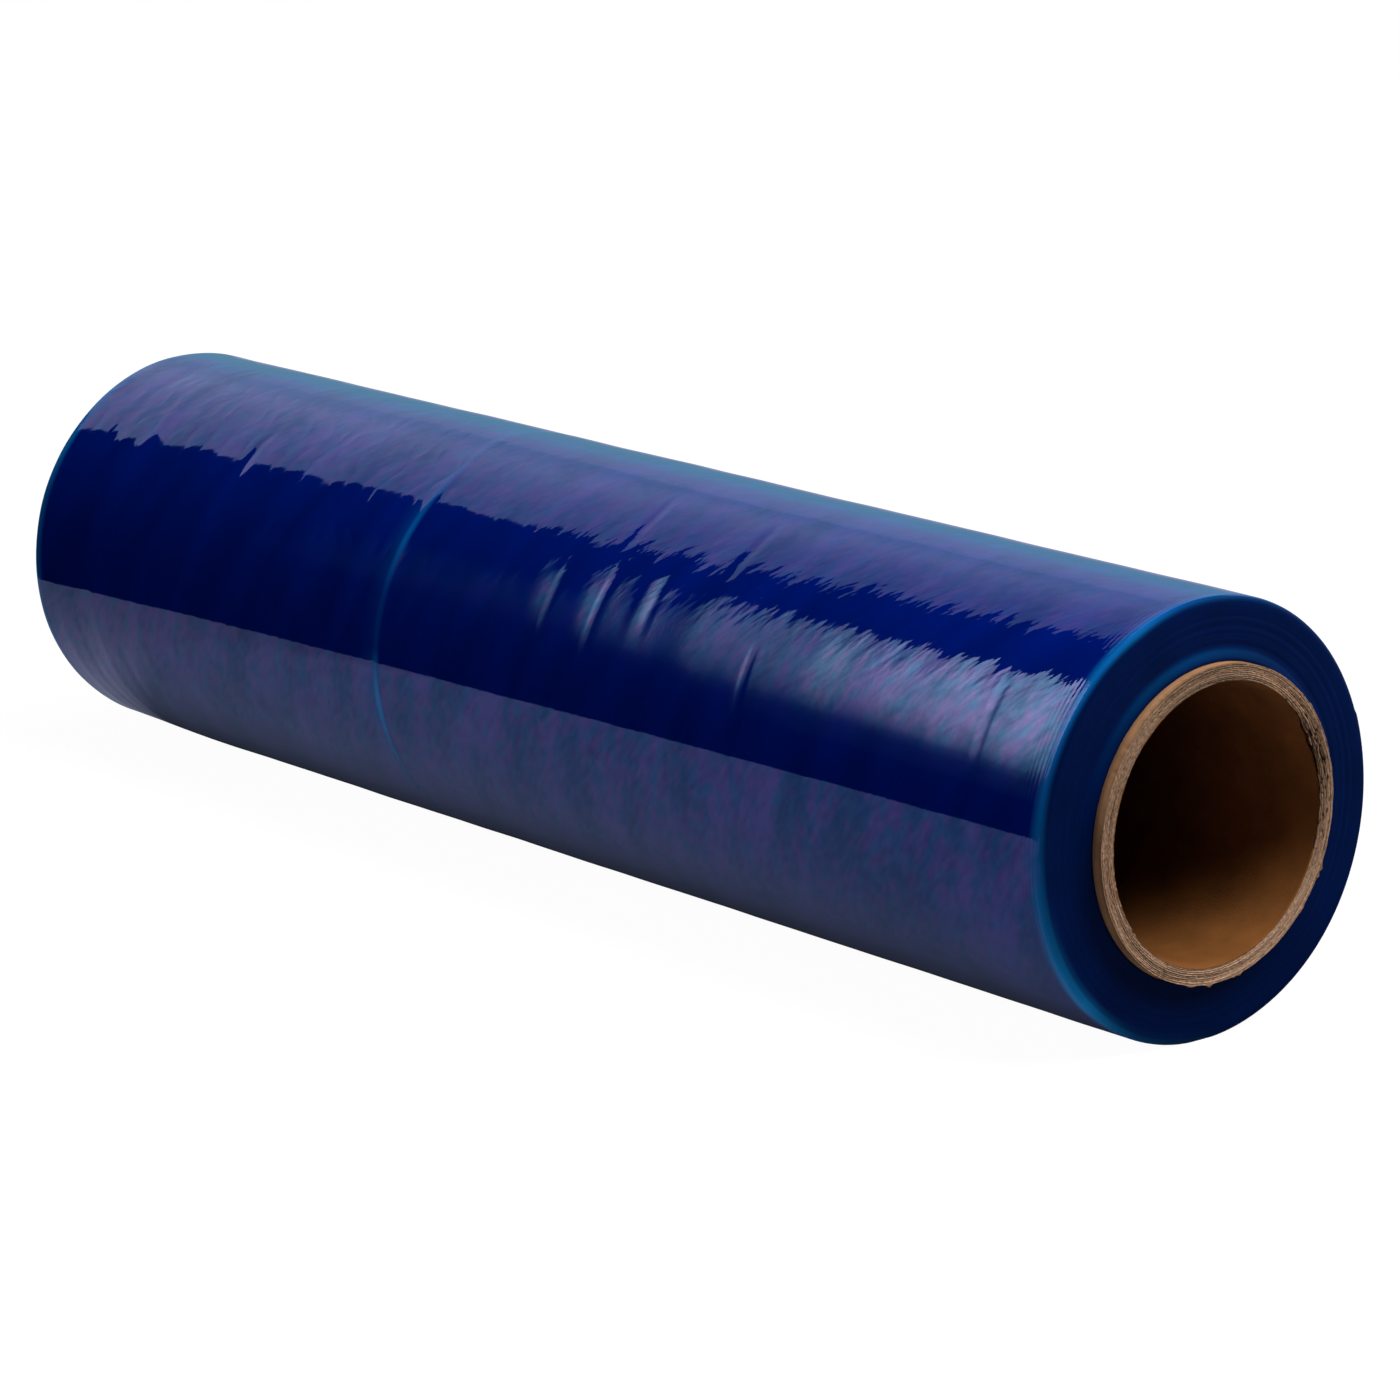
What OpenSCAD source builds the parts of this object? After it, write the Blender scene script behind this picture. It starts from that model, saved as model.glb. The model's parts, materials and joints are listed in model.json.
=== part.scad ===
// Roll of stretch film on a cardboard core, lying on its side.
// X runs along the roll, -Y is the front, Z is up and z = 0 is the surface that it lies on.
// Angles go round the roll in degrees: 0 straight down, 90 at the front, 180 on top, 270 at the back.

/* [Film] */
// Width of the film, which is the length of the wound roll
film_width = 458; // [300:1:520]
// Thickness of the film that is wound on the core
film_build = 17.2; // [10:0.1:40]
// Width of the flat spot that the soft roll presses itself into where it lies
flat_width = 14; // [12:0.5:20]
// Rounding of the roll's two end edges
shoulder_r = 2; // [1:0.1:4]
// Height of the lip where the last turn's loose end lies on the roll
tail_lip = 0.3; // [0.1:0.05:0.6]
// Angle round the roll at which the loose end lies
tail_angle = 250; // [225:1:300]

/* [Core] */
// Bore of the core, which takes a three inch spindle
core_bore = 76.2; // [60:0.1:82]
// Wall of the core
core_wall = 4.5; // [3:0.1:7]
// How far the core stands out of the film at each end
core_proud = 4.6; // [2:0.1:12]
// How far the inner and the outer plies stop short of the middle ones at the core's cut ends
ply_step = 0.4; // [0.1:0.05:0.8]

/* [Winding] */
// Height of the gauge bands, the soft rings that thick and thin lanes of the film build up
band_h = 0.3; // [0.1:0.05:0.6]
// Height of the fold that runs round the roll
fold_h = 0.4; // [0.2:0.05:0.8]
// Depth of the short creases where the film has gathered
crease_h = 0.35; // [0.1:0.05:0.6]
// Half the width of a fold or a crease
crease_w = 2.6; // [2:0.1:4]
// How far the folds run along the roll between its underside and its top
fold_drift = 6; // [0:0.5:8]
// How much the loose turns at the far end are drawn in underneath
draw_in = 1.2; // [0:0.1:3]
// Length of the roll over which they are drawn in
draw_length = 50; // [30:1:100]
// Height of the collar that the first turns make round the core at each end
collar_h = 1.2; // [0.4:0.1:1.6]
// How far neighbouring turns step in and out across the end faces
turn_step = 0.35; // [0.1:0.05:0.6]

/* [Hidden] */
core_r = core_bore / 2 + core_wall;
film_r = core_r + film_build;
core_length = film_width + 2 * core_proud;
// Radius underneath, below the loose end's last turn. The flat spot is cut off at axis_z below the
// axis, and the axis stands as high above the surface.
under_r = film_r - tail_lip * turn_share(0);
flat_angle = asin(flat_width / 2 / under_r);
axis_z = under_r * cos(flat_angle);
// The film is free of the pressed underside, and its folds stand up fully, this far past the flat
press_fade = 22;
// The loose end's lip is a slope this many degrees wide
lip_slope = 0.6;
// Facets round the roll, and the spacing of the rings of facets along it
around = 70;
ring_pitch = 17;
shoulder_steps = 2;

// Gauge bands: pitch along the roll in mm, share of the bands' height, and phase
bands = [[96, 0.5, 40], [43, 0.3, 110], [25, 0.2, 0]];
// The fold and the creases: place as a share of the film's width from the middle, height,
// angle at the middle of its arc, and how far the arc reaches each way
folds = [
    [-0.455, -crease_h, 145, 40],
    [-0.385, -crease_h, 150, 34],
    [-0.303, -crease_h, 158, 42],
    [-0.110, fold_h, 125, 105],
    [0.040, -crease_h, 122, 22],
    [0.083, crease_h, 120, 46],
    [0.131, -crease_h, 128, 24],
    [0.182, -crease_h, 160, 36],
    [0.236, -crease_h, 112, 24],
    [0.438, -crease_h, 125, 30]
];
// Turns on the end faces: share of the way from the core to the shoulder, and how proud they are
face_turns = [
    [0.95, -turn_step / 2],
    [0.86, -turn_step],
    [0.77, 0],
    [0.68, -turn_step],
    [0.59, -turn_step * 0.4],
    [0.50, -turn_step],
    [0.41, 0],
    [0.32, -turn_step],
    [0.23, 0],
    [0.14, collar_h / 2],
    [0.05, collar_h]
];

function clamp01(t) = max(0, min(1, t));
function smooth(t) = let (c = clamp01(t)) c * c * (3 - 2 * c);
function sorted(v) = len(v) < 2 ? v :
    let (mid = v[floor(len(v) / 2)])
    concat(
        sorted([for (e = v) if (e < mid) e]),
        [mid],
        sorted([for (e = v) if (e > mid) e])
    );

// Angle between two directions round the roll, from 0 to 180
function apart(a, b) = let (d = abs(a - b) % 360) min(d, 360 - d);
// 0 on the flat spot, rising to 1 where the film is free of it
function off_flat(a) = smooth((apart(a, 0) - flat_angle) / press_fade);
// Share of a turn from the loose end round to an angle
function turn_share(a) = ((a - tail_angle + 720) % 360) / 360;

function fold_x(f) = f[0] * film_width;
function fold_rise(f, x, a) =
    f[1] * smooth(1 - abs(x - fold_x(f)) / crease_w) * smooth(1 - apart(a, f[2]) / f[3]);
function band_rise(x, a) =
    band_h * (0.8 + 0.2 * cos(2 * a + x)) * sum([for (b = bands) b[1] * sin(360 * x / b[0] + b[2])]);
function sum(v, i = 0) = i < len(v) ? v[i] + sum(v, i + 1) : 0;
function drawn_in(x, a) =
    draw_in * smooth((draw_length - film_width / 2 - x) / draw_length) * smooth(1 - apart(a, 0) / 100);

// Distance from the axis to the film's outside, at a place along the roll and an angle
function skin_r(x, a) =
    film_r - tail_lip * turn_share(a) - drawn_in(x, a)
    + off_flat(a) * (band_rise(x, a) + sum([for (f = folds) fold_rise(f, x, a)]));

// Places of the facet rings along the outside: three at each fold, and the rest evenly spaced
side_end = film_width / 2 - shoulder_r;
even_count = round(2 * side_end / ring_pitch);
even_rings = [for (i = [0 : even_count]) side_end * (2 * i / even_count - 1)];
function near_fold(x) = min([for (f = folds) abs(x - fold_x(f))]) < 2 * crease_w;
fold_rings = [for (f = folds) for (k = [-1 : 1]) fold_x(f) + k * crease_w];
side_rings = sorted(concat(
    [-side_end, side_end],
    [for (x = even_rings) if (abs(x) < side_end - 1 && !near_fold(x)) x],
    fold_rings
));

// Angles of the facets: the middle and the edges of the flat spot, the loose end, and the rest even
even_step = (360 - 2 * flat_angle) / around;
even_angles = [for (i = [0 : around]) flat_angle + i * even_step];
angles = sorted(concat(
    [0, tail_angle - lip_slope, tail_angle],
    [for (a = even_angles) if (apart(a, tail_angle) > even_step * 0.6) a]
));

// A ring is [place along the roll, how far in from the skin, share of the way to the core or -1].
// The rings go from inside the core at the far end, over the outside, to inside the core at the near end.
shoulder = [for (i = [0 : shoulder_steps - 1])
    let (t = 90 * i / shoulder_steps) [shoulder_r * (1 - sin(t)), shoulder_r * (1 - cos(t))]];
near_end = concat(
    [for (i = [1 : shoulder_steps]) let (t = 90 * i / shoulder_steps)
        [side_end + shoulder_r * sin(t), shoulder_r * (1 - cos(t)), -1]],
    [for (f = face_turns) [film_width / 2 + f[1], 0, f[0]]],
    [[film_width / 2 + collar_h, 0, -0.2]]
);
far_end = [for (i = [len(near_end) - 1 : -1 : 0]) let (e = near_end[i]) [-e[0], e[1], e[2]]];
rings = concat(far_end, [for (x = side_rings) [x, 0, -1]], near_end);

// How far a ring leans along the roll at an angle, so that the folds on it drift as the real ones do
function lean(x, a) = -fold_drift * (1 - cos(a)) / 2 * smooth((side_end - abs(x)) / 60);

function ring_point(ring, a) =
    let (
        outer = skin_r(ring[0], a) - ring[1],
        shoulder_in = film_r - tail_lip - draw_in - shoulder_r,
        r = ring[2] == -1 ? outer : core_r + ring[2] * (shoulder_in - core_r),
        z = axis_z - r * cos(a)
    )
    [ring[0] + (ring[2] == -1 ? lean(ring[0], a) : 0), -r * sin(a), max(z, 0)];

module wound_skin() {
    n = len(angles);
    m = len(rings);
    points = [for (ring = rings) for (a = angles) ring_point(ring, a)];
    sides = [for (i = [0 : m - 2]) for (j = [0 : n - 1])
        let (k = (j + 1) % n, p = i * n + j, q = i * n + k, s = p + n, t = q + n)
        each [[p, q, s], [q, t, s]]];
    caps = [
        [for (j = [0 : n - 1]) n - 1 - j],
        [for (j = [0 : n - 1]) (m - 1) * n + j]
    ];
    polyhedron(points, concat(sides, caps));
}

module along_roll(length, r) {
    translate([0, 0, axis_z])
        rotate([0, 90, 0])
            cylinder(h = length, r = r, center = true, $fn = 96);
}

// All the turns of film, wound tight on the core
module film_roll() {
    color([0.02, 0.06, 0.42])
        difference() {
            wound_skin();
            along_roll(core_length + 2, core_r);
        }
}

// Spiral wound cardboard core, cut off square, with its plies standing at slightly different heights
module core_tube() {
    ply = core_wall / 4;
    half = core_length / 2;
    bore_r = core_bore / 2;
    color([0.66, 0.47, 0.30])
        translate([0, 0, axis_z])
            rotate([0, 90, 0])
                rotate_extrude($fn = 96)
                    polygon([
                        [bore_r, -half + ply_step],
                        [bore_r + ply, -half],
                        [core_r - ply, -half],
                        [core_r, -half + ply_step],
                        [core_r, half - ply_step],
                        [core_r - ply, half],
                        [bore_r + ply, half],
                        [bore_r, half - ply_step]
                    ]);
}

film_roll();
core_tube();
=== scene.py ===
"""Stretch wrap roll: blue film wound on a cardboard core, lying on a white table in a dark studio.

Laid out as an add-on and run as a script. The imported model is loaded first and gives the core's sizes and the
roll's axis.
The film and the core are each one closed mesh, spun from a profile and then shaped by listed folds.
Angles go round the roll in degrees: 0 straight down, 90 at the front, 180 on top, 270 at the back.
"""
import json
import math

import bmesh
import bpy
import numpy as np
from bpy.props import FloatProperty, FloatVectorProperty, IntProperty
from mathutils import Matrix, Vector


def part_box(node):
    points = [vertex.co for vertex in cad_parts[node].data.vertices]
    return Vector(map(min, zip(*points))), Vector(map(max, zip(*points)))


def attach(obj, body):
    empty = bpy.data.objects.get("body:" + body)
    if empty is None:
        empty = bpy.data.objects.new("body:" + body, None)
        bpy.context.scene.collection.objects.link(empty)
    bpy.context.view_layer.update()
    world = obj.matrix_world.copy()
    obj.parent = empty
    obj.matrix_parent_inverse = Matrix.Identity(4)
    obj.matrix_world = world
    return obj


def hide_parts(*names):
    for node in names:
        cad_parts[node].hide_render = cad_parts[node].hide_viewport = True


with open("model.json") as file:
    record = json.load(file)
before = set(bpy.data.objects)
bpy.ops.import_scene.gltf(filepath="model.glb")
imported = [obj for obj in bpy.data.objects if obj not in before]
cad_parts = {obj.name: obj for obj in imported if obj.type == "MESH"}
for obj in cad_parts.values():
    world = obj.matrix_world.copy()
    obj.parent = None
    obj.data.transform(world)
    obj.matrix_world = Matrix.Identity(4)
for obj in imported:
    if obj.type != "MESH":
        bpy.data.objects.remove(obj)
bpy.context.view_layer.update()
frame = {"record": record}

bl_info = {
    "name": "Stretch wrap roll",
    "version": (1, 0, 0),
    "blender": (4, 5, 0),
    "location": "View3D > Sidebar > Wrap roll",
    "description": "Builds a roll of stretch film on its cardboard core, with its studio",
    "category": "Add Mesh",
}

MM = 0.001


def mount(name):
    """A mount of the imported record."""
    return next(m for m in frame["record"]["mounts"] if m["name"] == name)


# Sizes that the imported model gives, in metres
CORE_LOW, CORE_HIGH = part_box("core_tube")
AXIS_Z = mount("core_bore")["pos_m"][2]
BORE_R = mount("core_bore")["dims"]["r_mm"] * MM
CORE_HALF = CORE_HIGH.x
CORE_R = CORE_HIGH.y


def linear(hex_colour):
    """An sRGB hex colour as the linear RGBA that shader sockets hold."""
    channels = [int(hex_colour[i:i + 2], 16) / 255 for i in (1, 3, 5)]
    return tuple(c / 12.92 if c <= 0.04045 else ((c + 0.055) / 1.055) ** 2.4 for c in channels) + (1.0,)


def colour_property(name, description, hex_colour):
    return FloatVectorProperty(
        name=name, description=description, subtype="COLOR", size=4, min=0, max=1,
        default=linear(hex_colour))


def length_property(name, description, default):
    return FloatProperty(name=name, description=description, unit="LENGTH", min=0, default=default)


class WrapFilmSettings(bpy.types.PropertyGroup):
    width: length_property("Width", "Width of the film, between the flat parts of its end faces", 0.458)
    outer_r: length_property("Outer radius", "Outside radius of the wound film", 0.0598)
    shoulder: length_property("Shoulder", "Rounding of the two end edges", 0.002)
    flat_width: length_property("Flat spot", "Width of the pressed flat that the roll lies on", 0.014)
    fold_height: length_property("Fold", "Height of the fold that runs round the roll", 0.00012)
    crease_depth: length_property("Creases", "Depth of the short gathered creases", 0.00035)
    band_height: length_property("Gauge bands", "Height of the soft rings that the film's lanes build", 0.00011)
    rings: IntProperty(name="Rings", description="Rings of faces along the film", default=320, min=40)
    spokes: IntProperty(name="Spokes", description="Faces round the film", default=250, min=48)
    deep: colour_property("Deep film", "Colour where many turns lie on each other", "#001976")
    # Also the colour of the painted light at the end edges and in the collar
    thin: colour_property("Thin film", "Colour where air lies between a few turns", "#16a8ff")
    double: colour_property("Fold", "Colour of the fold, where the film lies double and loose", "#0f96f2")
    edges: colour_property("Film edges", "Colour of the wound film's cut edges on the end faces", "#001549")


class WrapCoreSettings(bpy.types.PropertyGroup):
    ply: length_property("Ply", "Thickness of one ply of core board", 0.0005)
    spokes: IntProperty(name="Spokes", description="Faces round the core", default=480, min=48)
    outer: colour_property("Outer ply", "Colour of the core's outside", "#b0835f")
    cut: colour_property("Cut end", "Colour of the sawn end grain", "#967962")
    # Pale end grain, as painted light on the sawn ends
    painted_end_light: colour_property("Rubbed end", "Colour of the end grain where it is rubbed", "#cfa88a")
    # Painted shade in the gaps, recesses and crumbled plies of the sawn ends
    gap: colour_property("Gaps", "Colour in the gaps between plies", "#3d2a1d")
    bore: colour_property("Bore", "Colour of the inner ply", "#905c30")


class WrapStudioSettings(bpy.types.PropertyGroup):
    lens: FloatProperty(name="Lens", description="Focal length on a 36 mm sensor", default=140.5, min=10)
    ambient: FloatProperty(name="Ambient", description="Light from all round", default=0.03, min=0)
    overhead: FloatProperty(name="Overhead", description="Strength of the large softbox", default=1.2, min=0)
    strip: FloatProperty(name="Strip", description="Strength of the strip softbox", default=3.0, min=0)
    table: FloatProperty(name="Table", description="Brightness of the table in reflections", default=1.13, min=0)


def smooth(t):
    t = np.clip(t, 0, 1)
    return t * t * (3 - 2 * t)


def between(value, start, end):
    """0 up to the start and 1 from the end on, with a smooth rise between. The end may be the lower one."""
    return smooth((value - start) / (end - start))


def looked_up(value, table):
    """The level at a value, from a table of (value, level) pairs."""
    return np.interp(value, *zip(*table))


def apart(a, b):
    """Angle between two directions round the roll, from 0 to 180 degrees."""
    d = np.abs(a - b) % 360
    return np.minimum(d, 360 - d)


def lattice(u, turn, cells_u, cells_round, seed):
    """Smooth noise from -1 to 1: u runs from 0 to 1 along the roll, and turn closes on itself round it."""
    table = np.random.default_rng(seed).uniform(-1, 1, (cells_u + 2, cells_round))
    pu = np.clip(u, 0, 1) * cells_u
    pr = (turn % 1) * cells_round
    iu, ir = np.floor(pu).astype(int), np.floor(pr).astype(int) % cells_round
    fu, fr = smooth(pu - iu), smooth(pr - np.floor(pr))
    jr = (ir + 1) % cells_round
    low = table[iu, ir] * (1 - fr) + table[iu, jr] * fr
    high = table[iu + 1, ir] * (1 - fr) + table[iu + 1, jr] * fr
    return low * (1 - fu) + high * fu


def new_piece(name, bm, node, materials):
    """Makes the bmesh an object at the origin that rides on the one body and stands for a CAD node."""
    mesh = bpy.data.meshes.new(name)
    bm.to_mesh(mesh)
    bm.free()
    mesh.polygons.foreach_set("use_smooth", [True] * len(mesh.polygons))
    for material in materials:
        mesh.materials.append(material)
    piece = bpy.data.objects.new(name, mesh)
    bpy.context.scene.collection.objects.link(piece)
    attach(piece, "root")
    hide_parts(node)
    return piece


def spin_profile(profile, spokes):
    """Spins a closed profile of (place along the roll, radius) points into a closed ring."""
    bm = bmesh.new()
    verts = [bm.verts.new((x, 0, AXIS_Z - r)) for x, r in profile]
    edges = [bm.edges.new((a, b)) for a, b in zip(verts, verts[1:] + verts[:1])]
    bmesh.ops.spin(
        bm, geom=verts + edges, cent=(0, 0, AXIS_Z), axis=(1, 0, 0),
        angle=math.tau, steps=spokes, use_merge=True)
    bmesh.ops.recalc_face_normals(bm, faces=bm.faces)
    return bm


def cylinder_coordinates(mesh):
    """Place along the roll and radius in mm, and the angle in degrees, of every vertex."""
    co = np.empty(len(mesh.vertices) * 3)
    mesh.vertices.foreach_get("co", co)
    co = co.reshape(-1, 3)
    y, z = co[:, 1], co[:, 2] - AXIS_Z
    angle = np.degrees(np.arctan2(-y, -z)) % 360
    return co[:, 0] / MM, np.hypot(y, z) / MM, angle


def write_cylinder(mesh, x, r, angle):
    """Moves every vertex to its place along the roll, radius and angle, and none below the table."""
    t = np.radians(angle)
    co = np.stack([x * MM, -r * MM * np.sin(t), AXIS_Z - r * MM * np.cos(t)], axis=1)
    co[:, 2] = np.maximum(co[:, 2], 0)
    mesh.vertices.foreach_set("co", co.ravel())
    mesh.update()


def write_uv(mesh, along, angle, radius):
    """Lays the mesh out flat in metres: one way along, the other round the roll at a radius in mm."""
    loops = np.empty(len(mesh.loops), dtype=np.int32)
    mesh.loops.foreach_get("vertex_index", loops)
    a = angle[loops].reshape(-1, 4)
    # Faces that cross from 360 degrees to 0 carry on past 360
    a = np.where((a.max(axis=1) - a.min(axis=1) > 180)[:, None] & (a < 180), a + 360, a).ravel()
    uv = np.stack([along[loops] * MM, np.radians(a) * radius * MM], axis=1)
    layer = mesh.uv_layers.new(name="wrap")
    layer.data.foreach_set("uv", uv.ravel().astype(np.float32))


def write_attribute(mesh, name, values):
    attribute = mesh.attributes.new(name, "FLOAT", "POINT")
    attribute.data.foreach_set("value", np.clip(values, 0, 1).astype(np.float32))


def give_second_material(mesh, chosen):
    """Gives the second material to faces chosen by how far they are from the middle, and by radius, in mm."""
    centres = np.empty(len(mesh.polygons) * 3)
    mesh.polygons.foreach_get("center", centres)
    centres = centres.reshape(-1, 3)
    radius = np.hypot(centres[:, 1], centres[:, 2] - AXIS_Z) / MM
    picked = chosen(np.abs(centres[:, 0]) / MM, radius)
    mesh.polygons.foreach_set("material_index", picked.astype(np.int32))
    mesh.update()


# Film, with places and heights in mm and angles round the roll in degrees

# Folds and creases: place along the roll, height as a share of the fold's or the crease's own, angle at the middle
# of the arc, reach each way, and half width
FOLDS = [(-50, 1.0, 125, 105, 2.2)]
CREASES = [
    (-206, -0.3, 150, 40, 4.5), (-190, 0.3, 140, 40, 4.5), (-138.5, -0.6, 140, 16, 1.6),
    (-217, 0.35, 50, 34, 3.0), (-207, -0.3, 52, 34, 3.0), (-197, 0.3, 58, 40, 3.5), (-186, -0.3, 52, 34, 3.5),
    (-172, 0.25, 56, 40, 4.5), (-149, 0.22, 54, 38, 4.5), (13, 0.38, 123, 17, 8.5), (21.5, -0.4, 122, 18, 1.8),
    (33.5, 0.34, 124, 20, 8.5), (41.5, -0.5, 124, 24, 1.8), (38, -0.6, 152, 16, 1.8), (57, 0.35, 128, 14, 4.0),
    (62, -0.4, 128, 14, 1.8), (83, -0.7, 148, 18, 1.8), (107.5, -0.6, 110, 18, 1.4), (200, -0.4, 122, 16, 1.4)]
# Gauge bands: pitch along the roll, share of the height, and phase in degrees
BANDS = [(96, 0.5, 40), (43, 0.3, 110), (25, 0.2, 0)]
# Turns on the end faces: share of the way from the core to the shoulder, and how proud they are
FACE_TURNS = [
    (0.0, 1.2), (0.05, 1.2), (0.14, 0.6), (0.23, 0.0), (0.32, -0.12), (0.41, 0.0), (0.50, -0.10),
    (0.59, -0.04), (0.68, -0.12), (0.77, -0.02), (0.86, -0.10), (0.95, -0.05), (1.0, 0.0)]
# Rings of faces on each end face and each rounding, and how unevenly the turns on the end faces lie
FACE_RINGS, SHOULDER_RINGS, UNEVEN_TURNS = 30, 7, 0.02
# The lip of the last turn's loose end, and the loose turns drawn in underneath at the far end
LIP, LIP_ANGLE = 0.3, 250
DRAW_IN, DRAW_LENGTH, DRAW_REACH = 1.2, 50, 100
# How far the soft roll bulges low at the back, where it has settled
SAG, SAG_ANGLE, SAG_REACH = 0.9, 308, 55
# How far the folds drift along the roll over its top, and how far round the film is free of the flat spot
FOLD_DRIFT, PRESS_FADE = 6, 22
# Soft unevenness all over, and broad waves at the far end
WAVES, FAR_WAVES = 0.010, 0.10
# How far the loose turns at the end edges light up: angle, share, and how far past the side's end the
# light falls to half
RIM_LIGHT = [
    (0, 0.12, 2.4), (25, 0.26, 2.4), (45, 0.93, 2.6), (55, 0.75, 2.5), (65, 0.53, 2.5), (90, 0.27, 1.9),
    (110, 0.27, 1.0), (125, 0.42, 0.8), (140, 0.36, 1.0), (155, 0.34, 1.6), (170, 0.19, 1.4), (185, 0.14, 1.7),
    (215, 0.03, 1.5), (330, 0.02, 1.5), (360, 0.10, 2.4)]
# How far the fold lights up: angle, and share
FOLD_LIGHT = [
    (30, 0.10), (50, 0.30), (65, 0.55), (80, 0.90), (88, 0.50), (94, 0.09), (110, 0.10), (118, 0.26),
    (125, 0.38), (138, 0.26), (155, 0.13), (175, 0.09), (190, 0.0)]
# Light in the collar next to the core: share, how far out from the core, half width, angle, and reach
COLLAR_LIGHT, COLLAR_OUT, COLLAR_WIDE, COLLAR_ANGLE, COLLAR_REACH = 0.08, 2.2, 2.0, 165, 65


class WRAP_OT_film(bpy.types.Operator):
    """Winds the film: gauge bands, folds and gathers outside, and stepped turns on the end faces"""
    bl_idname = "wrap.film"
    bl_label = "Wound film"

    def execute(self, context):
        s = context.scene.wrap_film
        half, shoulder, outer = s.width / 2, s.shoulder, s.outer_r
        side = half - shoulder
        inner = outer - shoulder - (DRAW_IN + LIP) * MM
        shares = np.linspace(0.97, 0.0, FACE_RINGS)
        uneven = np.random.default_rng(3).uniform(-UNEVEN_TURNS, UNEVEN_TURNS, FACE_RINGS)
        proud = looked_up(shares, FACE_TURNS) + uneven * (shares > 0.1)
        near = [(side + shoulder * math.sin(t), outer - shoulder * (1 - math.cos(t)))
                for t in np.radians(np.linspace(0, 90, SHOULDER_RINGS))]
        near += [(half + h * MM, CORE_R + k * (inner - CORE_R)) for k, h in zip(shares, proud)]
        along = [(-side + 2 * side * i / s.rings, outer) for i in range(1, s.rings)]
        far = [(-x, r) for x, r in reversed(near)]
        materials = film_material(s), edge_material(s)
        piece = new_piece("film_wrap", spin_profile(far + along + near, s.spokes), "film_roll", materials)
        shape_film(piece.data, s)
        return {"FINISHED"}


def film_sizes(s):
    """Half the length of the straight side, the outside radius and the rounding, in mm."""
    return s.width / 2 / MM - s.shoulder / MM, s.outer_r / MM, s.shoulder / MM


def fold_rise(folds, height, x, a):
    """Height in mm of listed folds and creases."""
    rise = np.zeros_like(x)
    for place, share, middle, reach, half_width in folds:
        # Full over the middle quarter of its reach
        fade = smooth(1.3 * (1 - apart(a, middle) / reach))
        rise += share * height * between(np.abs(x - place), half_width, 0) * fade
    return rise


def shape_film(mesh, s):
    """Moves the spun film's vertices into bands, folds, waves and the pressed flat."""
    x, r, a = cylinder_coordinates(mesh)
    side, outer, shoulder = film_sizes(s)
    half = side + shoulder
    from_middle, from_under = np.abs(x), apart(a, 0)
    on_side = between(r, outer - shoulder - DRAW_IN - LIP, outer - shoulder)
    under = outer - LIP * (360 - LIP_ANGLE) / 360
    flat_angle = math.degrees(math.asin(s.flat_width / 2 / MM / under))
    free = between(from_under, flat_angle, flat_angle + PRESS_FADE)

    bands = sum(share * np.sin(2 * np.pi * x / pitch + math.radians(phase)) for pitch, share, phase in BANDS)
    bands = s.band_height / MM * (0.8 + 0.2 * np.cos(np.radians(2 * a + x))) * bands
    fold = fold_rise(FOLDS, s.fold_height / MM, x, a)
    creases = fold_rise(CREASES, s.crease_depth / MM, x, a)
    # The fine gathers are in the material
    waves = (WAVES + FAR_WAVES * between(x, -178, -208)) * lattice((x + half) / (2 * half), a / 360, 36, 26, 21)
    draw = DRAW_IN * between(x, DRAW_LENGTH - half, -half) * between(from_under, DRAW_REACH, 0)
    lip = LIP * (((a - LIP_ANGLE) % 360) / 360)
    sag = SAG * between(apart(a, SAG_ANGLE), SAG_REACH, 0)
    lean = -FOLD_DRIFT * between(from_under, 150, 180) * between(from_middle, side, side - 60) * on_side

    write_uv(mesh, x, a, outer)
    mark_film(mesh, s, x, r, a, on_side)
    write_cylinder(mesh, x + lean, r + on_side * (free * (bands + fold + creases + waves) + sag - draw - lip), a)
    # The end faces, from the middle of the rounding inwards
    give_second_material(mesh, lambda away, radius: (away > side) & (radius < outer - 0.6))


def mark_film(mesh, s, x, r, a, on_side):
    """Marks for the material: loose turns with painted light at the end edges and the collar, the fold's painted
    light, puckers, gathers, and where the film is stretched pale.
    """
    side, outer, shoulder = film_sizes(s)
    # Way along the film's outside, over the rounded end edge and on down the end face
    over, up = np.maximum(np.abs(x) - side, 0), np.maximum(r - (outer - shoulder), 0)
    past_side = np.minimum(np.abs(x) - side, 0) * on_side + shoulder * np.arctan2(over, up + 1e-6)
    past_side += np.maximum(outer - shoulder - r, 0)
    # The two end edges are a few loose turns, and painted light shines into them most at the upper front
    angles, shares, ends = zip(*RIM_LIGHT)
    rim = between(past_side, -3, 0) * (1 - between(past_side - np.interp(a, angles, ends), -1.2, 1.2))
    rim *= np.interp(a, angles, shares)
    # Painted light in the collar next to the core
    collar = COLLAR_LIGHT * between(np.abs(r - CORE_R / MM - COLLAR_OUT), COLLAR_WIDE, 0)
    collar *= between(apart(a, COLLAR_ANGLE), COLLAR_REACH, 0) * (np.abs(x) > side)
    # Cyan loose turns, with painted light at the end edges and in the collar
    write_attribute(mesh, "loose", rim + collar)
    # Painted light along the fold, by angle round the roll
    write_attribute(mesh, "fold", looked_up(a, FOLD_LIGHT))
    # Puckers lie left of the fold, and combed gathers right of it towards the near end
    puckers = (0.12 + 0.88 * between(a, 108, 128)) * (0.25 + 0.75 * between(x, -25, -55)) * between(x, 30, 0)
    write_attribute(mesh, "puckers", puckers)
    band_edge = 140 + 9 * np.clip((x - 40) / 165, 0, 1)
    combed = between(a, 122, 131) * (1 - 0.85 * between(a - band_edge, 3, 12))
    write_attribute(mesh, "gathers", combed * between(x, -45, 45))
    write_attribute(mesh, "pale", 0.35 * between(x, 20, 80) * between(a, 98, 108) * between(a, 146, 138))


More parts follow.
